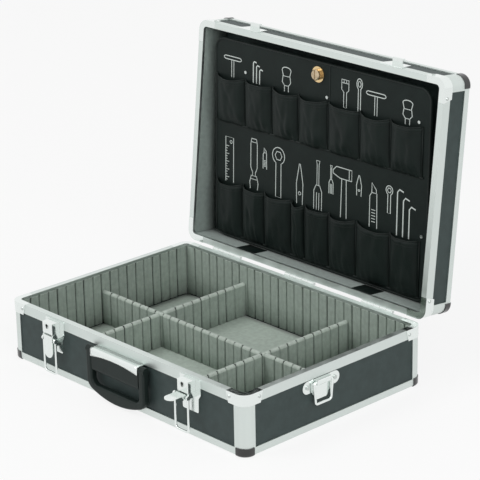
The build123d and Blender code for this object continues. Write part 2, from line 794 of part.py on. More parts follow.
with BuildPart() as handle_loop:
    with BuildSketch(Plane.XZ.offset(loop_back)) as loop_face:
        with BuildLine():
            Line((-loop_half, loop_shoulder), (-loop_half, pivot_z))
            Line((-loop_half, pivot_z), (loop_half, pivot_z))
            Line((loop_half, pivot_z), (loop_half, loop_shoulder))
            ThreePointArc((loop_half, loop_shoulder), (loop_half - 2.4, turn_z + 5.8), (turn_x, turn_z))
            ThreePointArc((turn_x, turn_z), (0, loop_low), (-turn_x, turn_z))
            ThreePointArc((-turn_x, turn_z), (2.4 - loop_half, turn_z + 5.8), (-loop_half, loop_shoulder))
        make_face()
        with Locations((0, hole_low + loop_drop)):
            RectangleRounded(2 * loop_inner, 2 * loop_drop, hole_round, mode=Mode.SUBTRACT)
    extrude(amount=loop_depth)
    outline_edges = [e for e in handle_loop.edges() if e.bounding_box().size.Y < 0.01]
    fillet([e for e in outline_edges if e.center().Z < pivot_z - 0.01], 3.0)
    for s in (1, -1):
        middle = s * (loop_half + loop_inner) / 2
        rod(base, (middle, pivot_y, pivot_z), "X", loop_depth / 2, loop_half - loop_inner)
        rod(base, (s * (loop_half - 7.2), pivot_y, pivot_z), "X", pivot_radius + running, 12.0, Mode.SUBTRACT)


# ---- Shoulder strap brackets ----
def strap_bracket(s):
    """Slotted plate with a raised shield and a bored block for the ring."""
    x0 = half_w - panel_in + running
    sheet = Plane(origin=(s * x0, strap_y, lobe_z), x_dir=(0, s, 0), z_dir=(s, 0, 0))
    with BuildSketch(sheet) as outline:
        SlotOverall(strap_length, 2 * shield_top)
    extrude(outline.sketch, amount=strap_plate, dir=sheet.z_dir)
    right = [(shield_half, shield_top), (shield_half, -shield_top - 1.2), (shield_half / 2, -shield_low)]
    with BuildSketch(sheet) as shield_face:
        Polygon(*right, *[(-a, b) for a, b in reversed(right)], align=None)
        fillet(shield_face.vertices(), 3.0)
    extrude(shield_face.sketch, amount=strap_plate + 0.8, dir=sheet.z_dir)
    block(base, (s * x0, s * (ring_x + 3.2)), (strap_y - 12, strap_y + 12), (ring_z - 3.6, ring_z + 3.9))
    far = [e for e in active_edges() if abs(abs(e.center().X) - ring_x - 3.2) < 0.01 and e.center().X * s > 0]
    fillet(far, 2.2)
    rod(base, (s * ring_x, strap_y, ring_z), "Y", ring_wire + running, bore_length, Mode.SUBTRACT)
    for t in (1, -1):
        rod(base, (s * x0, strap_y + t * strap_rivet, lobe_z), "X", rivet_shank + running, 8.0, Mode.SUBTRACT)


def strap_ring(s):
    """Closed rounded loop of wire through the bracket's block."""
    low = ring_z - ring_drop
    right = [(ring_low_half, low), (ring_half, ring_z)]
    around = right + [(-a, b) for a, b in reversed(right)]
    with BuildLine() as loop_line:
        FilletPolyline(*[(s * ring_x, strap_y + a, b) for a, b in around], radius=4.0, close=True)
    with BuildSketch(Plane(origin=loop_line.line @ 0, z_dir=loop_line.line % 0)) as section:
        Circle(ring_wire)
    sweep(section.sketch, path=loop_line.line)


with BuildPart() as strap_brackets:
    strap_bracket(1)
    strap_bracket(-1)
with BuildPart() as strap_rivets:
    for s in (1, -1):
        for t in (1, -1):
            x0 = half_w - panel_in + running
            at_y = strap_y + t * strap_rivet
            rod(base, (s * (x0 + strap_plate / 2), at_y, lobe_z), "X", rivet_shank, strap_plate)
            rod(base, (s * (x0 + strap_plate + 0.7), at_y, lobe_z), "X", 3.0, 1.4)
with BuildPart() as ring_left:
    strap_ring(-1)
with BuildPart() as ring_right:
    strap_ring(1)


# ---- Tool pallet ----
pallet = Plane(swing * Location((0, pallet_low_y, pallet_low_z)) * Location((0, 0, 0), (pallet_lean, 0, 0)))


def pocket_row(seams, mouth, bottom):
    """A row of arched pockets between seams, closed below, on one backing strip."""
    block(pallet, (seams[0] - 3, seams[-1] + 3), (mouth, bottom), (-backing, -running))
    for left, right in zip(seams, seams[1:]):
        pocket(left + 0.8, right - 0.8, mouth, bottom, 0.0)
        pocket(left + 0.8, right - 0.8, mouth - 1, bottom - pocket_wall, pocket_wall)


def pocket(left, right, mouth, bottom, inside):
    """One pocket's outside, or its hollow when inside is its wall."""
    sheet = Plane(pallet.location * Plane.XZ.offset(-bottom).location)
    middle = (left + right) / 2
    a, b = left + 1.4 * inside, right - 1.4 * inside
    with BuildSketch(sheet) as outline:
        with BuildLine():
            ThreePointArc((a, -backing), (middle, -backing - pocket_rise + inside), (b, -backing))
            Line((b, -backing), (a, -backing))
        make_face()
    mode = Mode.SUBTRACT if inside else Mode.ADD
    extrude(outline.sketch, amount=bottom - mouth, dir=sheet.z_dir, mode=mode)


with BuildPart() as pallet_board:
    with BuildSketch(pallet) as board_face:
        with Locations((0, -pallet_length / 2)):
            RectangleRounded(2 * pallet_half, pallet_length, pallet_corner)
    extrude(board_face.sketch, amount=pallet_thick, dir=pallet.z_dir)
    rod(pallet, (0, knob_v, 0), "Z", knob_shaft + running, 20.0, Mode.SUBTRACT)
    for x, v in pallet_rivet_places:
        rod(pallet, (x, v, 0), "Z", rivet_shank + running, 20.0, Mode.SUBTRACT)
with BuildPart() as upper_pockets:
    pocket_row(upper_seams, upper_mouth, upper_bottom)
with BuildPart() as lower_pockets:
    pocket_row(lower_seams, lower_mouth, lower_bottom)
with BuildPart() as pallet_rivets:
    for x, v in pallet_rivet_places:
        rod(pallet, (x, v, pallet_thick / 2 - fit), "Z", rivet_shank, pallet_thick + 2 * fit)
        rod(pallet, (x, v, -0.7), "Z", pallet_rivet_radius, 1.3)
with BuildPart() as knob_ring:
    rod(pallet, (0, knob_v, -0.8), "Z", ring_disc, 1.5)
    rod(pallet, (0, knob_v, 0), "Z", knob_shaft + running, 20.0, Mode.SUBTRACT)
with BuildPart() as pallet_knob:
    rod(pallet, (0, knob_v, -1.7 - knob_height / 2), "Z", knob_radius, knob_height)
    knob_face = Axis(pallet.origin, pallet.z_dir)
    chamfer(pallet_knob.edges().group_by(knob_face)[0], 1.2)
    slot_ws = (-2.7 - knob_height, -0.9 - knob_height)
    block(pallet, (-1.2, 1.2), (knob_v - 20, knob_v + 20), slot_ws, Mode.SUBTRACT)
    rod(pallet, (0, knob_v, (cam_far - 2) / 2), "Z", knob_shaft, cam_far + 2)
    block(pallet, (-3.5, 3.5), (knob_v - 4, knob_v + cam_length), (cam_far - 2, cam_far))
with BuildPart() as pallet_keeper:
    block(lid_closed, (keeper_in, keeper_out), keeper_ys, (keeper_z, keeper_z + 1.6))
    stem_top = closed_height - foot_height - board_thick - running
    block(lid_closed, (keeper_out - 2, keeper_out), keeper_ys, (keeper_z, stem_top))
with BuildPart() as pallet_straps:
    for s in (1, -1):
        straps_z = (base_height + 2.5, pallet_low_z - 1.5)
        block(lid_closed, (s * strap_near, s * strap_far), (strap_in, strap_in + strap_thick), straps_z)


# ---- Export ----
pieces = {
    "base_bottom_panel": base_bottom_panel,
    "base_front_panel": base_front_panel,
    "base_back_panel": base_back_panel,
    "base_left_panel": base_left_panel,
    "base_right_panel": base_right_panel,
    "base_rim_rails": base_rim_rails,
    "base_edge_rails": base_edge_rails,
    "base_corner_posts": base_corner_posts,
    "base_ball_corners": base_ball_corners,
    "base_rim_brackets": base_rim_brackets,
    "base_rivets": base_rivets,
    "base_liners": base_liners,
    "floor_pad": floor_pad,
    "lid_top_panel": lid_top_panel,
    "lid_front_panel": lid_front_panel,
    "lid_back_panel": lid_back_panel,
    "lid_side_panels": lid_side_panels,
    "lid_rim_rails": lid_rim_rails,
    "lid_edge_rails": lid_edge_rails,
    "lid_corner_posts": lid_corner_posts,
    "lid_ball_corners": lid_ball_corners,
    "lid_rim_brackets": lid_rim_brackets,
    "lid_rivets": lid_rivets,
    "lid_lining": lid_lining,
    "divider_cross": divider_cross,
    "divider_long": divider_long,
    "divider_right": divider_right,
    "divider_front": divider_front,
    "divider_back": divider_back,
    "hinge_base_leaves": hinge_base_leaves,
    "hinge_lid_leaves": hinge_lid_leaves,
    "hinge_pins": hinge_pins,
    "latch_plates": latch_plates,
    "latch_housings": latch_housings,
    "lock_left": lock_left,
    "lock_right": lock_right,
    "lever_left": lever_left,
    "lever_right": lever_right,
    "lever_pins": lever_pins,
    "bail_pin_left": bail_pin_left,
    "bail_pin_right": bail_pin_right,
    "bail_left": bail_left,
    "bail_right": bail_right,
    "latch_strikes": latch_strikes,
    "handle_mount": handle_mount,
    "handle_pins": handle_pins,
    "handle_trim": handle_trim,
    "handle_loop": handle_loop,
    "strap_brackets": strap_brackets,
    "strap_rivets": strap_rivets,
    "ring_left": ring_left,
    "ring_right": ring_right,
    "pallet_board": pallet_board,
    "upper_pockets": upper_pockets,
    "lower_pockets": lower_pockets,
    "pallet_rivets": pallet_rivets,
    "knob_ring": knob_ring,
    "pallet_knob": pallet_knob,
    "pallet_keeper": pallet_keeper,
    "pallet_straps": pallet_straps,
}
for name, piece in pieces.items():
    piece.part.label = name
    export_step(piece.part, f"parts/{name}.step")
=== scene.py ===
import bpy, bmesh, json, math
from mathutils import Vector, Matrix, noise


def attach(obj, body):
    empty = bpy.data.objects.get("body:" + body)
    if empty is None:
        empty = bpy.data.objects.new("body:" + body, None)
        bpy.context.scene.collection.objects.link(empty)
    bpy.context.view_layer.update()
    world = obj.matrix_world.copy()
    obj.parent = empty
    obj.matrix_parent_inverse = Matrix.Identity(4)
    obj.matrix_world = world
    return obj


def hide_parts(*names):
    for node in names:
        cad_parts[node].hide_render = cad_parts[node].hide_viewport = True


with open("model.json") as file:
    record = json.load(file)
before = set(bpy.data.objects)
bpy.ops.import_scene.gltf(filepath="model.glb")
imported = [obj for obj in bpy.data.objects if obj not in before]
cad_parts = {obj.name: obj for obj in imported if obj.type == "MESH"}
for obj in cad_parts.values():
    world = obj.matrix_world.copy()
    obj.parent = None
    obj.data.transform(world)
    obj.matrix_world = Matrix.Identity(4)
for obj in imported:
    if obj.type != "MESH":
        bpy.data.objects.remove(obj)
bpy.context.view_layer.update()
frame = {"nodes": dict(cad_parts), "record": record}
MM = 0.001
nodes = frame["nodes"]

# ---- Shared sizes (mm), as the solids have them ----
HINGE_Y, HINGE_Z, OPEN = 163.0, 84.8, math.radians(96.0)
PALLET_LOW_Y, PALLET_LOW_Z, LEAN = 150.0, 114.5, math.radians(4.32)
LID_TOP_Z = 137.0
INNER_X, INNER_Y = 220.5, 151.5
OUT_X, OUT_Y = 224.4, 155.4
SOFT_GAP = 0.3
PITCH = 15.7
SLIT_DEPTH = 2.4
SLIT_HALF, SLIT_UNEVEN, SLIT_DRIFT = 1.15, 0.25, 0.5
WALL_ROUND, DIVIDER_ROUND = 0.8, 3.4
END_FALL = ((0.0, 1.0), (0.8, 0.3), (2.0, 0.0))
SLIT_LIP, SLIT_EDGE, LIP_DEPTH = 0.9, 0.25, 0.3
CREASE_HALF, CREASE_DEPTH = 0.5, 0.35
TOP_DIP_MOST, TOP_DIP_SHARE = 1.2, 0.4
CLOTH = 0.9


def moved(x, y, z):
    return Matrix.Translation((x * MM, y * MM, z * MM))


SWING = moved(0, HINGE_Y, HINGE_Z) @ Matrix.Rotation(-OPEN, 4, "X") @ moved(0, -HINGE_Y, -HINGE_Z)
PALLET = SWING @ moved(0, PALLET_LOW_Y, PALLET_LOW_Z) @ Matrix.Rotation(LEAN, 4, "X")


# ---- Materials ----
class Mat:
    """A node material with short helpers."""

    def __init__(self, name, color, rough, metal=0.0, **inputs):
        self.m = bpy.data.materials.new(name)
        self.m.use_nodes = True
        self.t = self.m.node_tree
        self.b = self.t.nodes["Principled BSDF"]
        self.b.inputs["Base Color"].default_value = (*color, 1)
        self.b.inputs["Roughness"].default_value = rough
        self.b.inputs["Metallic"].default_value = metal
        for key, value in inputs.items():
            self.b.inputs[key.replace("_", " ")].default_value = value
        self.coord = self.t.nodes.new("ShaderNodeTexCoord")
        self.color = color
        self.height = None

    def node(self, kind, **inputs):
        n = self.t.nodes.new(kind)
        for key, value in inputs.items():
            n.inputs[key.replace("_", " ")].default_value = value
        return n

    def mapped(self, scale):
        n = self.node("ShaderNodeMapping", Scale=scale)
        self.t.links.new(self.coord.outputs["Object"], n.inputs["Vector"])
        return n.outputs["Vector"]

    def noise(self, scale, detail=3.0, stretch=(1, 1, 1)):
        n = self.node("ShaderNodeTexNoise", Scale=scale, Detail=detail)
        self.t.links.new(self.mapped(stretch), n.inputs["Vector"])
        return n.outputs["Fac"]

    def cells(self, scale, stretch=(1, 1, 1)):
        n = self.node("ShaderNodeTexVoronoi", Scale=scale)
        self.t.links.new(self.mapped(stretch), n.inputs["Vector"])
        return n.outputs["Distance"]

    def ramp(self, fac, low, high, start=0.3, end=0.7):
        n = self.t.nodes.new("ShaderNodeValToRGB")
        n.color_ramp.elements[0].position = start
        n.color_ramp.elements[1].position = end
        n.color_ramp.elements[0].color = (*low, 1)
        n.color_ramp.elements[1].color = (*high, 1)
        self.t.links.new(fac, n.inputs["Fac"])
        return n.outputs["Color"]

    def vary(self, fac, amount, start=0.3, end=0.7):
        low = [c * (1 - amount) for c in self.color]
        high = [min(1, c * (1 + amount)) for c in self.color]
        self.t.links.new(self.ramp(fac, low, high, start, end), self.b.inputs["Base Color"])
        return self

    def rough(self, fac, low, high, start=0.3, end=0.7):
        self.t.links.new(self.ramp(fac, (low,) * 3, (high,) * 3, start, end), self.b.inputs["Roughness"])
        return self

    def bump(self, fac, strength, distance):
        n = self.node("ShaderNodeBump", Strength=strength, Distance=distance)
        self.t.links.new(fac, n.inputs["Height"])
        if self.height is not None:
            self.t.links.new(self.height, n.inputs["Normal"])
        self.height = n.outputs["Normal"]
        self.t.links.new(self.height, self.b.inputs["Normal"])
        return self


def panel_mat():
    m = Mat("panel_black", (0.041, 0.060, 0.058), 0.5, Specular_IOR_Level=0.26)
    m.vary(m.noise(90.0), 0.12)
    m.bump(m.cells(1400.0), 0.25, 0.0003)
    return m.m


def rail_mat(name, stretch):
    m = Mat(name, (0.66, 0.715, 0.69), 0.32, 1.0)
    m.rough(m.noise(60.0, 2.0, stretch), 0.36, 0.5)
    m.bump(m.noise(500.0, 2.0, stretch), 0.08, 0.0002)
    return m.m


def chrome_mat():
    m = Mat("chrome", (0.80, 0.845, 0.825), 0.12, 1.0)
    m.rough(m.noise(120.0), 0.08, 0.2)
    return m.m


def steel_mat():
    m = Mat("steel", (0.56, 0.60, 0.58), 0.3, 1.0)
    m.rough(m.noise(300.0), 0.22, 0.4)
    return m.m


def foam_mat(name, color):
    m = Mat(name, color, 0.95, Sheen_Weight=0.2, Sheen_Roughness=0.6, Specular_IOR_Level=0.1)
    m.vary(m.noise(160.0, 4.0), 0.1)
    m.bump(m.noise(2600.0, 2.0), 0.5, 0.0004)
    return m.m


def vinyl_mat(name, color, rough):
    m = Mat(name, color, rough, Specular_IOR_Level=0.17)
    m.vary(m.noise(40.0), 0.15)
    m.bump(m.cells(900.0), 0.35, 0.0003)
    return m.m


def handle_mat():
    m = Mat("handle_plastic", (0.012, 0.0195, 0.0175), 0.45, Specular_IOR_Level=0.2)
    m.vary(m.noise(70.0), 0.1)
    m.bump(m.noise(1500.0), 0.12, 0.0002)
    return m.m


def brass_mat():
    m = Mat("brass", (0.75, 0.56, 0.30), 0.22, 1.0)
    m.rough(m.noise(200.0), 0.15, 0.32)
    return m.m


def knob_mat():
    m = Mat("aged_brass", (0.50, 0.40, 0.27), 0.2, 1.0)
    m.vary(m.noise(220.0), 0.25)
    m.rough(m.noise(300.0), 0.15, 0.3)
    return m.m


def cap_mat():
    m = Mat("cap_black_gloss", (0.008, 0.009, 0.009), 0.14, Coat_Weight=0.5, Coat_Roughness=0.05)
    m.rough(m.noise(200.0), 0.1, 0.22)
    return m.m


# Near-black material for the keyhole plates: painted shade where the holes' shade would be.
def keyhole_shade_mat():
    m = Mat("keyhole_painted_shade", (0.006, 0.007, 0.007), 0.6, Specular_IOR_Level=0.1)
    m.vary(m.noise(300.0), 0.2)
    return m.m


def print_mat():
    m = Mat("white_print", (0.66, 0.72, 0.69), 0.6)
    m.vary(m.noise(500.0), 0.08)
    return m.m


PANEL = panel_mat()
RAIL = rail_mat("rail_aluminium", (1, 1, 1))
CHROME = chrome_mat()
STEEL = steel_mat()
FOAM = foam_mat("foam_wall", (0.345, 0.41, 0.36))
# Paler copy of the wall foam for the rounded tops: a painted highlight where light falls from above.
FOAM_TOP_HIGHLIGHT = foam_mat("foam_top_painted_highlight", (0.52, 0.59, 0.53))
# Near-black plates for the keyholes: painted shade in place of the holes' own shade.
KEYHOLE_SHADE = keyhole_shade_mat()
# Near-black copy of the foam for the slit floors: painted shade inside the slits.
SLIT_SHADE = foam_mat("foam_slit_painted_shade", (0.028, 0.036, 0.031))
FLOOR_FOAM = foam_mat("foam_floor", (0.47, 0.55, 0.485))
LINING = foam_mat("lid_lining_cloth", (0.31, 0.37, 0.345))
VINYL = vinyl_mat("vinyl_board", (0.008, 0.0135, 0.012), 0.55)
POCKET = vinyl_mat("vinyl_pocket", (0.0065, 0.0118, 0.0102), 0.5)
BINDING = vinyl_mat("vinyl_binding", (0.014, 0.019, 0.0175), 0.42)
CAP = cap_mat()
PLASTIC = handle_mat()
BRASS = brass_mat()
KNOB = knob_mat()
PRINT = print_mat()

slot_mats = {
    "panel": PANEL, "rail": RAIL, "chrome": CHROME, "steel": STEEL,
    "foam": FOAM, "handle": PLASTIC, "vinyl": VINYL, "brass": BRASS, "cap": CAP,
}
for row in frame["record"]["subparts"]:
    mesh = nodes[row["node"]].data
    mesh.materials.clear()
    mesh.materials.append(KNOB if row["node"] == "pallet_knob" else slot_mats[row["material_slot"]])


# ---- Mesh helpers ----
def piece(name, verts, faces, mats, body, slot, place=None, replaces=(), smooth=True, face_mats=None):
    """A mesh piece from millimetre points, placed, materialed and ridden."""
    mesh = bpy.data.meshes.new(name)
    mesh.from_pydata([Vector(v) * MM for v in verts], [], faces)
    if place is not None:
        mesh.transform(place)
    for mat in mats:
        mesh.materials.append(mat)
    if face_mats:
        mesh.polygons.foreach_set("material_index", face_mats)
    mesh.polygons.foreach_set("use_smooth", [smooth] * len(mesh.polygons))
    bm = bmesh.new()
    bm.from_mesh(mesh)
    bmesh.ops.recalc_face_normals(bm, faces=bm.faces)
    bm.to_mesh(mesh)
    bm.free()
    mesh.update()
    obj = bpy.data.objects.new(name, mesh)
    bpy.context.scene.collection.objects.link(obj)
    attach(obj, body)
    if replaces:
        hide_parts(*replaces)
    return obj


def grid_faces(rows, cols, wrap=False):
    """Quads over a grid stored row by row."""
    faces = []
    for r in range(rows - 1):
        for c in range(cols if wrap else cols - 1):
            d = (c + 1) % cols
            faces.append((r * cols + c, r * cols + d, (r + 1) * cols + d, (r + 1) * cols + c))
    return faces


def groove_stations(length, grooved):
    """Places along a foam sheet with the groove depth at each."""
    out = list(END_FALL)
    if grooved:
        count = int((length - PITCH) / PITCH)
        first = length / 2 - PITCH * (count - 1) / 2
        for n in range(count):
            at = first + n * PITCH + SLIT_DRIFT * math.sin(n * 2.7 + length)
            half = SLIT_HALF + SLIT_UNEVEN * math.sin(n * 4.1 + length)
            for step, depth in ((half + SLIT_LIP, 0.0), (half + SLIT_EDGE, LIP_DEPTH), (half, SLIT_DEPTH)):
                out += [(at - step, depth), (at + step, depth)]
            out.append((at + PITCH / 2 - CREASE_HALF, 0.0))
            out.append((at + PITCH / 2, CREASE_DEPTH))
            out.append((at + PITCH / 2 + CREASE_HALF, 0.0))
    out += [(length - s, depth) for s, depth in reversed(END_FALL)]
    return sorted(p for p in out if 0 <= p[0] <= length)


def foam_sheet(xs, ys, zs, sides, grooved=True, top=WALL_ROUND):
    """Points, faces and material numbers of an upright foam sheet with a rounded top and grooved faces;
    number 1 gives the rounded top a paler painted highlight, number 2 paints the slit floors near black as
    painted shade.
    """
    along_x = abs(xs[1] - xs[0]) > abs(ys[1] - ys[0])
    start, end = sorted(xs) if along_x else sorted(ys)
    near, far = sorted(ys) if along_x else sorted(xs)
    thick = far - near
    top = min(top, thick / 2 - 0.05)
    z0, z1 = zs
    verts, rows = [], 0
    stations = groove_stations(end - start, grooved)
    for s, depth in stations:
        a = near + (depth if "near" in sides else 0.0)
        b = far - (depth if "far" in sides else 0.0)
        dip = min(depth, TOP_DIP_MOST) * TOP_DIP_SHARE
        ring = [(a, z0), (a, (z0 + z1) / 2), (a, z1 - top)]
        for k in range(1, 4):
            angle = math.pi / 2 * k / 4
            ring.append((a + top * (1 - math.cos(angle)), z1 - top + top * math.sin(angle) - dip))
        ring.append((near + thick / 2, z1 - dip))
        for k in range(3, 0, -1):
            angle = math.pi / 2 * k / 4
            ring.append((b - top * (1 - math.cos(angle)), z1 - top + top * math.sin(angle) - dip))
        ring += [(b, z1 - top), (b, (z0 + z1) / 2), (b, z0)]
        for across, z in ring:
            verts.append((start + s, across, z) if along_x else (across, start + s, z))
        rows += 1
    cols = len(verts) // rows
    faces = grid_faces(rows, cols, wrap=True)
    # Material 1 on the rounded top: a painted highlight, a paler copy of the foam.
    kinds = [1 if 2 <= i % cols <= 9 else 0 for i in range(len(faces))]
    for i in range(len(faces)):
        row = i // cols
        # Material 2 on the slit floors: painted shade, near black where the slits lie in shade.
        if stations[row][1] == SLIT_DEPTH and stations[row + 1][1] == SLIT_DEPTH:
            kinds[i] = 2
    faces += [tuple(range(cols)), tuple(reversed(range((rows - 1) * cols, rows * cols)))]
    return verts, faces, kinds + [0, 0]


def joined(parts):
    """Several point, face and material lists as one."""
    verts, faces, kinds = [], [], []
    for v, f, k in parts:
        faces += [tuple(i + len(verts) for i in face) for face in f]
        verts += v
        kinds += k
    return verts, faces, kinds


def foam_piece(name, sheets, body, node_names, place=None, mats=None):
    """One padded piece of one or more foam sheets."""
    verts, faces, kinds = joined(sheets)
    # Default materials: the foam faces, a paler painted highlight on the tops, and painted shade in the
    # slits.
    mats = mats or [FOAM, FOAM_TOP_HIGHLIGHT, SLIT_SHADE]
    obj = piece(name, verts, faces, mats, body, "foam", place, node_names, True, kinds)
    return obj


# ---- Foam in the base ----
CROSS_X, LONG_Y, RIGHT_Y, HALF_T = 100.0, -5.0, -3.0, 3.75
FOOT, DIV_TOP = 7.3, 56.0
TX, TY = INNER_X - SOFT_GAP, INNER_Y - SOFT_GAP
both = ("near", "far")
dividers = {
    "cross": ((CROSS_X - HALF_T, CROSS_X + HALF_T), (-TY, TY)),
    "long": ((-TX, CROSS_X - HALF_T - SOFT_GAP), (LONG_Y - HALF_T, LONG_Y + HALF_T)),
    "right": ((CROSS_X + HALF_T + SOFT_GAP, TX), (RIGHT_Y - HALF_T, RIGHT_Y + HALF_T)),
    "front": ((-CROSS_X - HALF_T, -CROSS_X + HALF_T), (-TY, LONG_Y - HALF_T - SOFT_GAP)),
    "back": ((-CROSS_X - HALF_T, -CROSS_X + HALF_T), (LONG_Y + HALF_T + SOFT_GAP, TY)),
}
for key, (xs, ys) in dividers.items():
    node = "divider_" + key
    foam_piece("foam_" + node, [foam_sheet(xs, ys, (FOOT, DIV_TOP), both, top=DIVIDER_ROUND)], node, [node])

WALL_Z, LINING_Z = (7.1, 80.05), (7.1, 48.05)


def wall_sheets(zs, grooved):
    """The four foam walls round the inside, grooved on their inner faces or plain."""
    full_x, full_y = (-INNER_X, INNER_X), (-INNER_Y, INNER_Y)
    walls = ((full_x, (-OUT_Y, -INNER_Y), "far"), (full_x, (INNER_Y, OUT_Y), "near"),
             ((-OUT_X, -INNER_X), full_y, "far"), ((INNER_X, OUT_X), full_y, "near"))
    return [foam_sheet(xs, ys, zs, (inner,) if grooved else (), grooved) for xs, ys, inner in walls]


foam_piece("foam_base_liners", wall_sheets(WALL_Z, True), "base", ["base_liners"])
PAD_Z, PAD_EDGE, PAD_INSET, PAD_FALL, PAD_WAVE = (5.1, 7.0), 3, 0.3, 0.7, 0.25


def pad_sheet(half_x, half_y, z0, z1, steps=24):
    """A flat foam pad with softly falling edges and a slight unevenness."""
    verts = []
    for r in range(steps + 1):
        for c in range(steps + 1):
            u, v = c / steps * 2 - 1, r / steps * 2 - 1
            past = max(abs(u) * half_x - half_x + PAD_EDGE, abs(v) * half_y - half_y + PAD_EDGE, 0)
            edge = past / PAD_EDGE
            lift = PAD_WAVE * math.sin(9 * u + 2 * v) * math.sin(7 * v - u)
            top = z1 - PAD_INSET - PAD_FALL * edge * edge + lift * (1 - edge)
            verts.append((u * half_x, v * half_y, top))
    n = len(verts)
    verts += [(x, y, z0) for x, y, z in verts]
    faces = grid_faces(steps + 1, steps + 1)
    faces += [tuple(i + n for i in f) for f in faces]
    rim = [c for c in range(steps)] + [steps + r * (steps + 1) for r in range(steps)]
    rim += [(steps + 1) * (steps + 1) - 1 - c for c in range(steps)]
    rim += [(steps - r) * (steps + 1) for r in range(steps)]
    for i, a in enumerate(rim):
        b = rim[(i + 1) % len(rim)]
        faces.append((a, b, b + n, a + n))
    return verts, faces, [0] * len(faces)


floor_foam = piece("foam_floor", *pad_sheet(INNER_X, INNER_Y, *PAD_Z)[:2], [FLOOR_FOAM], "base", "foam",
                   None, ["floor_pad"])

# ---- Lid lining, drawn closed and upside down as in the solids ----
LID_TOP_DOWN = SWING @ moved(0, 0, LID_TOP_Z) @ Matrix.Rotation(math.pi, 4, "Y")
foam_piece("lining_lid_walls", wall_sheets(LINING_Z, False), "lid", ["lid_lining"], LID_TOP_DOWN,
           [LINING, LINING])


# ---- Handle trim and keyholes ----
TRIM_HALF, TRIM_LOW, TRIM_RISE = 46.0, 60.0, 4.6
TRIM_TOP, MOUNT_TOP = 71.4, 70.7
TRIM_BACK, TRIM_FRONT, MOUNT_FRONT = -160.3, -173.6, -172.15
TRIM_BEND, TRIM_SHOULDER = 3.2, 67.0


def trim_shape(steps=24):
    """A bright plate folded over the handle mount, with an arched lower edge."""
    bend_y, bend_z = TRIM_FRONT + TRIM_BEND, TRIM_TOP - TRIM_BEND
    verts = []
    for n in range(steps + 1):
        u = n / steps * 2 - 1
        edge = TRIM_LOW + TRIM_RISE * (1 - u * u)
        middle = (TRIM_SHOULDER + edge) / 2
        angles = [math.pi / 2 * k / 5 for k in range(6)]
        bend = [(bend_y - TRIM_BEND * math.sin(a), bend_z + TRIM_BEND * math.cos(a)) for a in angles]
        outer = [(TRIM_BACK, TRIM_TOP)] + bend + [(TRIM_FRONT, middle), (TRIM_FRONT, edge)]
        inner = [(MOUNT_FRONT, edge), (MOUNT_FRONT, middle), (MOUNT_FRONT, MOUNT_TOP), (TRIM_BACK, MOUNT_TOP)]
        verts += [(TRIM_HALF * u, y, z) for y, z in outer + inner]
    cols = len(verts) // (steps + 1)
    faces = grid_faces(steps + 1, cols, True)
    faces += [tuple(range(cols)), tuple(range(steps * cols, (steps + 1) * cols))]
    return verts, faces


piece("handle_trim_plate", *trim_shape(), [CHROME], "base", "chrome", None, ["handle_trim"])


LATCH_X, KEY_Z = 133.5, 76.0
LOCK_FRONT, LOCK_SUNK = -174.84, -174.5
KEY_ROUND, KEY_SLOT, KEY_RISE, KEY_DROP = 2.1, 0.8, 1.0, 3.0


def keyhole(x):
    """A keyhole of painted shade: a thin near-black plate on the lock's face, a round with a slot below it,
    standing in for the shade in the hole.
    """
    angles = [math.radians(a) for a in range(-60, 241, 20)]
    outline = [(x + KEY_ROUND * math.cos(a), KEY_Z + KEY_RISE + KEY_ROUND * math.sin(a)) for a in angles]
    outline += [(x - KEY_SLOT, KEY_Z - KEY_DROP), (x + KEY_SLOT, KEY_Z - KEY_DROP)]
    n = len(outline)
    verts = [(a, y, b) for y in (LOCK_FRONT, LOCK_SUNK) for a, b in outline]
    faces = [tuple(range(n)), tuple(range(n, 2 * n))]
    faces += [(k, (k + 1) % n, (k + 1) % n + n, k + n) for k in range(n)]
    return verts, faces


for side, x in (("left", -LATCH_X), ("right", LATCH_X)):
    piece("keyhole_" + side, *keyhole(x), [KEYHOLE_SHADE], "lock_" + side, "steel", smooth=False)


# ---- Pallet pockets ----
POCKET_RISE, SEAM_HALF = 9.4, 0.8
BINDING_R, STITCH_R, PIPING_R = 0.85, 0.28, 1.3
POCKET_REST, ARCH_POWER = -0.9, 3.4
GATHER_FROM, GATHER_DRAW, GATHER_POWER = 0.72, 0.82, 1.6
FOLD_AT, FOLD_WIDTH, FOLD_DEPTH = 0.62, 0.10, 0.10


def pocket_point(u, t, left, right, mouth, bottom, rise, seed):
    """A point on a pocket's cloth: u across from seam to seam, t down from the mouth."""
    arch = max(0.0, 1 - abs(u) ** ARCH_POWER)
    belly = 1 - 0.12 * t
    if t > GATHER_FROM:
        belly *= 1 - GATHER_DRAW * ((t - GATHER_FROM) / (1 - GATHER_FROM)) ** GATHER_POWER
    fold = FOLD_DEPTH * math.exp(-((abs(u) - FOLD_AT) / FOLD_WIDTH) ** 2) * (1 - 0.5 * t)
    gather = 0.10 * math.cos(u * 15.0 + seed) * t ** 2 * (1 - u * u)
    slack = 0.24 * noise.noise(Vector((u * 1.7 + seed, t * 2.6 + u * 0.8, seed * 3.1))) * (1 - u ** 4)
    slack -= 0.09 * math.exp(-((u * 0.8 - t + 0.35 + 0.3 * math.sin(seed * 4)) / 0.09) ** 2)
    w = POCKET_REST - min(rise, rise * max(0.0, arch * (belly + slack) - fold * arch + gather * belly))
    sag = ((3.0 + 1.6 * math.sin(seed * 2.3)) * (1 - u * u) + 1.6 * u * math.sin(seed * 5.1)) * (1 - t) ** 3
    drift = 1.2 * noise.noise(Vector((t * 2.0, seed, 4.0))) * (1 - u * u)
    return left + (right - left) * (u + 1) / 2 + drift, mouth + (bottom - mouth) * t + sag, w


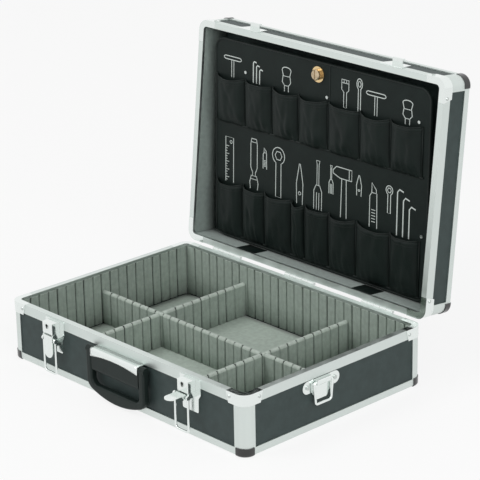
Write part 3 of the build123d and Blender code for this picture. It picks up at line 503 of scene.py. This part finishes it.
def pocket_cloth(left, right, mouth, bottom, rise, seed):
    """One pocket: a boxed front with folds beside its seams, gathered flat to the board below."""
    cols, rows = 29, 16
    grid = [[pocket_point(c / (cols - 1) * 2 - 1, r / (rows - 1), left, right, mouth, bottom, rise, seed)
             for c in range(cols)] for r in range(rows)]
    outer = [p for row in grid for p in row]
    inner = [(x, v, min(-0.4, w + CLOTH)) for x, v, w in outer]
    n = len(outer)
    faces = grid_faces(rows, cols)
    faces += [tuple(i + n for i in reversed(f)) for f in grid_faces(rows, cols)]
    for c in range(cols - 1):
        faces.append((c, c + 1, c + 1 + n, c + n))
        a = (rows - 1) * cols + c
        faces.append((a, a + 1, a + 1 + n, a + n))
    for r in range(rows - 1):
        for a in (r * cols, r * cols + cols - 1):
            faces.append((a, a + cols, a + cols + n, a + n))
    length = sum(math.dist(p, q) for p, q in zip(grid[5], grid[5][1:]))
    return outer + inner, faces, length


def tube(points, radius, sides=8, closed=False):
    """A round tube through points."""
    verts, count = [], len(points)
    pts = [Vector(p) for p in points]
    for i, p in enumerate(pts):
        before = pts[i - 1] if (i or closed) else pts[0]
        after = pts[(i + 1) % count] if (i < count - 1 or closed) else pts[-1]
        along = (after - before).normalized()
        side = along.cross(Vector((0.03, 0.02, 1))).normalized()
        up = side.cross(along)
        for k in range(sides):
            angle = 2 * math.pi * k / sides
            verts.append(tuple(p + radius * (math.cos(angle) * side + math.sin(angle) * up)))
    faces = grid_faces(count, sides, True)
    if closed:
        faces += [((count - 1) * sides + k, (count - 1) * sides + (k + 1) % sides, (k + 1) % sides, k)
                  for k in range(sides)]
    else:
        faces += [tuple(range(sides)), tuple(range((count - 1) * sides, count * sides))]
    return verts, faces, [0] * len(faces)


def strip(left, right, v0, v1, w0, w1):
    """A thin flat band on the board."""
    verts = [(x, v, w) for w in (w0, w1) for x, v in ((left, v0), (right, v0), (right, v1), (left, v1))]
    faces = [(0, 1, 2, 3), (7, 6, 5, 4), (0, 4, 5, 1), (1, 5, 6, 2), (2, 6, 7, 3), (3, 7, 4, 0)]
    return verts, faces, [0] * 6


def pocket_row(name, node, seams, mouth, bottom):
    """All the cloth of one row: pockets from one strip, with bound mouths and sewn seams."""
    parts, trims, flat = [], [], 0.0
    for n, (left, right) in enumerate(zip(seams, seams[1:])):
        seed = n * 1.7 + 0.4 * len(seams)
        shape = (left + SEAM_HALF, right - SEAM_HALF, mouth, bottom, POCKET_RISE, seed)
        verts, faces, length = pocket_cloth(*shape)
        parts.append((verts, faces, [0] * len(faces)))
        flat += length
        hem = [pocket_point(c / 20 * 2 - 1, 0.0, *shape) for c in range(21)]
        trims.append(tube([(x, v, w + 0.3) for x, v, w in hem], BINDING_R, 6))
        lower = [pocket_point(c / 20 * 2 - 1, 0.10, *shape) for c in range(21)]
        trims.append(tube([(x, v, w - 0.05) for x, v, w in lower], STITCH_R, 5))
    for x in seams:
        trims.append(strip(x - 0.7, x + 0.7, mouth - 1.0, bottom, -1.5, -0.06))
    trims.append(strip(seams[0] - 3, seams[-1] + 3, bottom - 2.2, bottom, -1.6, -0.06))
    verts, faces, kinds = joined(trims)
    binding = piece(name + "_binding", verts, faces, [BINDING], "pallet", "vinyl", PALLET)
    verts, faces, kinds = joined(parts)
    cloth = piece(name, verts, faces, [POCKET], "pallet", "vinyl", PALLET, [node])
    return cloth


PRINT_LOWER, PRINT_UPPER = -83.0, -237.5
UPPER = (-199, -141, -87, -36, 20, 79, 134, 190)
LOWER = (-199, -145, -101, -46, -21, 25, 76, 138, 190)
UPPER_ROW, LOWER_ROW = (-238.7, -170.5), (-84.2, -5.0)
pocket_row("cloth_upper_pockets", "upper_pockets", UPPER, *UPPER_ROW)
pocket_row("cloth_lower_pockets", "lower_pockets", LOWER, *LOWER_ROW)


def rounded_path(half_x, v0, v1, radius, steps=6):
    """Points round a rounded rectangle."""
    out = []
    centres = ((half_x - radius, v1 - radius, 0), (-half_x + radius, v1 - radius, 90),
               (-half_x + radius, v0 + radius, 180), (half_x - radius, v0 + radius, 270))
    for cx, cv, start in centres:
        for k in range(steps + 1):
            angle = math.radians(start + 90 * k / steps)
            out.append((cx + radius * math.cos(angle), cv + radius * math.sin(angle)))
    return out


BOARD_HALF, BOARD_TOP, BOARD_LOW, BOARD_CORNER = 201.6, -290.4, -1.4, 16.6
outline = rounded_path(BOARD_HALF, BOARD_TOP, BOARD_LOW, BOARD_CORNER)
piping = tube([(x, v, 0.2) for x, v in outline], PIPING_R, 8, True)
piece("pallet_piping", piping[0], piping[1], [BINDING], "pallet", "vinyl", PALLET)
SEAM_X = (20.6, 22.2)
seam = strip(*SEAM_X, BOARD_TOP + 1.9, PRINT_UPPER, -0.5, -0.02)
piece("pallet_seam", seam[0], seam[1], [BINDING], "pallet", "vinyl", PALLET, smooth=False)


STRAP_IN, STRAP_OUT, STRAP_THICK = 95, 130, 0.8


def strap_cloth(x0, x1):
    """A cloth strap over the inner edge of the hinge wall, drawn closed."""
    profile = [(150.62, 113.0), (150.58, 104.0), (150.55, 96.0), (150.6, 90.0), (150.65, 87.0)]
    verts = []
    for y, z in profile:
        verts += [(x0, y, z), (x1, y, z), (x1, y + STRAP_THICK, z), (x0, y + STRAP_THICK, z)]
    last = 4 * (len(profile) - 1)
    faces = grid_faces(len(profile), 4, True) + [(0, 1, 2, 3), (last, last + 1, last + 2, last + 3)]
    return verts, faces, [0] * len(faces)


strap_parts = joined([strap_cloth(-STRAP_OUT, -STRAP_IN), strap_cloth(STRAP_IN, STRAP_OUT)])
straps = piece("cloth_pallet_straps", strap_parts[0], strap_parts[1], [POCKET], "lid", "vinyl", SWING,
               ["pallet_straps"])


# ---- Generic printed tool outlines on the pallet ----
def ribbon(points, width=1.1, closed=False):
    """A flat painted line on the board through (x, v) points."""
    pts = [Vector((x, v)) for x, v in points]
    count = len(pts)
    verts = []
    for i, p in enumerate(pts):
        before = pts[i - 1] if (i or closed) else pts[0]
        after = pts[(i + 1) % count] if (i < count - 1 or closed) else pts[-1]
        along = (after - before)
        along = along.normalized() if along.length > 0 else Vector((1, 0))
        side = Vector((-along.y, along.x)) * width / 2
        for q, w in ((p + side, -0.22), (p - side, -0.22), (p - side, -0.02), (p + side, -0.02)):
            verts.append((q.x, q.y, w))
    faces = grid_faces(count, 4, True)
    if closed:
        faces += [((count - 1) * 4 + k, (count - 1) * 4 + (k + 1) % 4, (k + 1) % 4, k) for k in range(4)]
    else:
        faces += [(0, 1, 2, 3), tuple(range((count - 1) * 4, count * 4))]
    return verts, faces, [0] * len(faces)


def arc(cx, cv, radius, start, end, steps=14, squash=1.0):
    """Points on an arc in degrees."""
    out = []
    for k in range(steps + 1):
        a = math.radians(start + (end - start) * k / steps)
        out.append((cx + radius * math.cos(a), cv + radius * squash * math.sin(a)))
    return out


def line(points, width=1.15, closed=False):
    """A stroke of a drawing."""
    return points, width, closed


def mirror(points):
    """Points mirrored across the drawing's upright axis."""
    return [(-a, b) for a, b in points]


def ring_spanner():
    """Ring spanner, ring up; drawings run from v = 0 at the top to v = 60 in the pocket."""
    return [line(arc(0, 10, 10, 115, 425, 20) + [(4.4, 60), (-4.4, 60)], closed=True),
            line(arc(0, 10, 5.6, 0, 360, 6), 1.1, True)]


def screwdriver():
    """Driver with its blade up and its grip in the pocket."""
    blade = [(-1.6, 30), (-1.6, 5), (-2.8, 0), (2.8, 0), (1.6, 5), (1.6, 30)]
    grip = [(-6.5, 60), (-6.5, 37), (-3, 30), (3, 30), (6.5, 37), (6.5, 60)]
    return [line(blade, 1.0), line(grip), line([(-2, 39), (-2, 60)], 1.0), line([(2, 39), (2, 60)], 1.0)]


def tweezers():
    """Tweezers with their points up."""
    left = [(-5, 60), (-5.8, 30), (-2.6, 10), (-0.7, 0)]
    return [line(left, 1.1), line(mirror(left), 1.1), line(arc(0, 44, 2.4, 0, 360, 8), 0.9, True)]


def hammer():
    """Small hammer, head up."""
    head = [(-17, 5), (-12, 0), (12, 0), (12, 13), (-6, 13), (-17, 9)]
    return [line(head, closed=True), line([(-3.5, 13), (-4.5, 60)]), line([(3.5, 13), (4.5, 60)]),
            line([(8, 0), (8, 13)], 1.0)]


def knife():
    """Snap-off knife."""
    marks = [line([(-3, 36 + 4 * k), (3, 36 + 4 * k)], 1.0) for k in range(5)]
    body = [(-6, 60), (-6, 18), (-3, 13), (5, 13), (6, 60)]
    return [line(body), line([(-3, 13), (-3, 0), (4, 8), (4, 13)])] + marks


def hex_keys():
    """Three bent keys side by side."""
    keys = []
    for k in range(3):
        top, left = 9 * k, -12 + 9 * k
        keys.append(line([(left + 9, top + 2), (left + 3, top), (left, top + 4), (left, 60)], 1.8))
    return keys


def ruler():
    """A rule with divisions."""
    ticks = [line([(-7, 12 + 3.5 * k), (-(1 if k % 3 == 0 else 4), 12 + 3.5 * k)], 0.8) for k in range(14)]
    return [line([(-7, 60), (-7, 0), (7, 0), (7, 60)]), line(arc(2.5, 6, 2, 0, 360, 8), 0.9, True)] + ticks


def chisel():
    """A chisel with its edge up and its grip in the pocket."""
    blade = [(-5, 34), (-5, 6), (-3.6, 0), (3.6, 0), (5, 6), (5, 34), (2.2, 40), (2.2, 44)]
    grip = [(-5.5, 60), (-6.5, 52), (-4.2, 44), (4.2, 44), (6.5, 52), (5.5, 60)]
    return [line(blade + [(-2.2, 44), (-2.2, 40)], closed=True), line([(-4.4, 4), (4.4, 4)], 0.8), line(grip),
            line([(-4.8, 48), (4.8, 48)], 0.8)]


def t_handle():
    """A T-shaped driver handle with its stem in the pocket."""
    bar = arc(-13, 9, 4.5, 90, 270, 8) + arc(13, 9, 4.5, -90, 90, 8)
    stem = [(-2.2, 13.5), (-2.2, 60)]
    return [line(bar, closed=True), line(stem, 1.0), line(mirror(stem), 1.0)]


def file_grip():
    """The turned grip of a file, grip up."""
    left = [(-3.2, 60), (-3.2, 46), (-6.8, 38), (-5.4, 22), (-7.2, 10)]
    top = arc(0, 10, 7.2, 180, 360, 10)
    right = list(reversed(mirror(left)))
    rings = [line([(-3.2, 46), (3.2, 46)], 0.8), line([(-5.6, 24), (5.6, 24)], 0.8)]
    return [line(left[:-1] + top + right[1:])] + rings


def nut_driver():
    """A nut driver with its socket up."""
    socket = [(-5, 22), (-5, 0), (5, 0), (5, 22), (2, 27)]
    return [line(socket + [(2, 60), (-2, 60), (-2, 27)], 1.0, True), line([(-5, 7), (5, 7)], 0.8),
            line([(-1.8, 0), (-1.8, 7)], 0.8), line([(1.8, 0), (1.8, 7)], 0.8)]


drawings = []


def drawn(strokes, x, top, low, wide=1.0):
    """Place a drawing so that it runs from top to low on the board."""
    k = (low - top) / 60.0
    for points, width, closed in strokes:
        drawings.append(ribbon([(x + wide * a, top + k * b) for a, b in points], width, closed))


for art, x, tall, wide in ((ruler, -174, 66, 1.15), (chisel, -124, 74, 1.3), (ring_spanner, -75, 72, 1.2),
                           (tweezers, -33, 58, 1.1), (screwdriver, 2, 70, 1.15), (hammer, 51, 70, 1.2),
                           (knife, 106, 62, 1.15), (hex_keys, 163, 64, 1.2)):
    drawn(art(), x, PRINT_LOWER - tall, PRINT_LOWER, wide)
for art, x, tall, wide in ((t_handle, -168, 32, 1.0), (file_grip, -61, 36, 1.2), (nut_driver, 50, 38, 1.3),
                           (t_handle, 106, 34, 1.0), (file_grip, 162, 34, 1.2)):
    drawn(art(), x, PRINT_UPPER - tall, PRINT_UPPER, wide)
for art, x, top, low, wide in ((tweezers, 79, -150, -121, 0.8), (ring_spanner, 134, -148, -110, 0.6),
                               (screwdriver, 27, -152, -112, 0.6), (knife, -102, -148, -118, 0.6),
                               (ring_spanner, 76, -282, PRINT_UPPER, 0.5),
                               (hex_keys, -118, -268, PRINT_UPPER, 0.7)):
    drawn(art(), x, top, low, wide)
verts, faces, kinds = joined(drawings)
piece("pallet_print", verts, faces, [PRINT], "pallet", "vinyl", PALLET, smooth=False)


# ---- Stage, light and camera (metres) ----
FLOOR_HALF, FLOOR_SEEN = 9, 0.84
AMBIENT = 0.55
CAMERA_PLACE, CAMERA_LENS, SENSOR = (1.9146, -1.7321, 1.1315), 157.5, 36.0
AIM = (0, 0, 0.1)


def seen_rays(tree, share):
    """share for camera, glossy and transmission rays, else 0."""
    path = tree.nodes.new("ShaderNodeLightPath")
    total = None
    for name in ("Is Camera Ray", "Is Glossy Ray", "Is Transmission Ray"):
        if total is None:
            total = path.outputs[name]
            continue
        n = tree.nodes.new("ShaderNodeMath")
        n.operation = "MAXIMUM"
        tree.links.new(total, n.inputs[0])
        tree.links.new(path.outputs[name], n.inputs[1])
        total = n.outputs["Value"]
    n = tree.nodes.new("ShaderNodeMath")
    n.operation = "MULTIPLY"
    n.inputs[1].default_value = share
    tree.links.new(total, n.inputs[0])
    return n.outputs["Value"]


def stage_floor():
    mesh = bpy.data.meshes.new("stage_floor")
    h = FLOOR_HALF
    mesh.from_pydata([(-h, -h, 0), (h, -h, 0), (h, h, 0), (-h, h, 0)], [], [(0, 1, 2, 3)])
    obj = bpy.data.objects.new("stage_floor", mesh)
    bpy.context.scene.collection.objects.link(obj)
    mat = bpy.data.materials.new("stage_white")
    mat.use_nodes = True
    t = mat.node_tree
    t.nodes["Principled BSDF"].inputs["Base Color"].default_value = (0.9, 0.9, 0.9, 1)
    t.nodes["Principled BSDF"].inputs["Roughness"].default_value = 0.9
    glow = t.nodes.new("ShaderNodeEmission")
    mix = t.nodes.new("ShaderNodeMixShader")
    t.links.new(seen_rays(t, FLOOR_SEEN), mix.inputs["Fac"])
    t.links.new(t.nodes["Principled BSDF"].outputs["BSDF"], mix.inputs[1])
    t.links.new(glow.outputs["Emission"], mix.inputs[2])
    t.links.new(mix.outputs["Shader"], t.nodes["Material Output"].inputs["Surface"])
    mesh.materials.append(mat)


stage_floor()
world = bpy.data.worlds.new("studio")
bpy.context.scene.world = world
world.use_nodes = True
wt = world.node_tree
soft = wt.nodes["Background"]
soft.inputs["Color"].default_value = (1, 1, 1, 1)
soft.inputs["Strength"].default_value = AMBIENT
white = wt.nodes.new("ShaderNodeBackground")
white.inputs["Color"].default_value = (1, 1, 1, 1)
wmix = wt.nodes.new("ShaderNodeMixShader")
wt.links.new(seen_rays(wt, 1.0), wmix.inputs["Fac"])
wt.links.new(soft.outputs["Background"], wmix.inputs[1])
wt.links.new(white.outputs["Background"], wmix.inputs[2])
wt.links.new(wmix.outputs["Shader"], wt.nodes["World Output"].inputs["Surface"])


def lamp(name, place, size, power):
    data = bpy.data.lights.new(name, "AREA")
    data.size = size
    data.energy = power
    obj = bpy.data.objects.new(name, data)
    obj.location = place
    obj.rotation_euler = (Vector(AIM) - Vector(place)).to_track_quat("-Z", "Y").to_euler()
    bpy.context.scene.collection.objects.link(obj)


lamp("key", (-0.9, -1.9, 2.2), 1.2, 20)
lamp("fill", (2.2, -0.6, 1.5), 1.4, 17)

cam = bpy.data.cameras.new("camera")
cam.lens = CAMERA_LENS
cam.sensor_width = SENSOR
cam_obj = bpy.data.objects.new("camera", cam)
AZ, EL, ROLL = math.radians(47.02), math.radians(20.15), math.radians(-1.09)
back = Vector((math.sin(AZ) * math.cos(EL), -math.cos(AZ) * math.cos(EL), math.sin(EL)))
right = (-back).cross(Vector((0, 0, 1))).normalized()
up = right.cross(-back)
cam_x = math.cos(ROLL) * right + math.sin(ROLL) * up
cam_y = -math.sin(ROLL) * right + math.cos(ROLL) * up
turn = Matrix((cam_x, cam_y, back)).transposed().to_4x4()
cam_obj.matrix_world = Matrix.Translation(CAMERA_PLACE) @ turn
bpy.context.scene.collection.objects.link(cam_obj)
bpy.context.scene.camera = cam_obj
bpy.context.scene.view_settings.view_transform = "Standard"
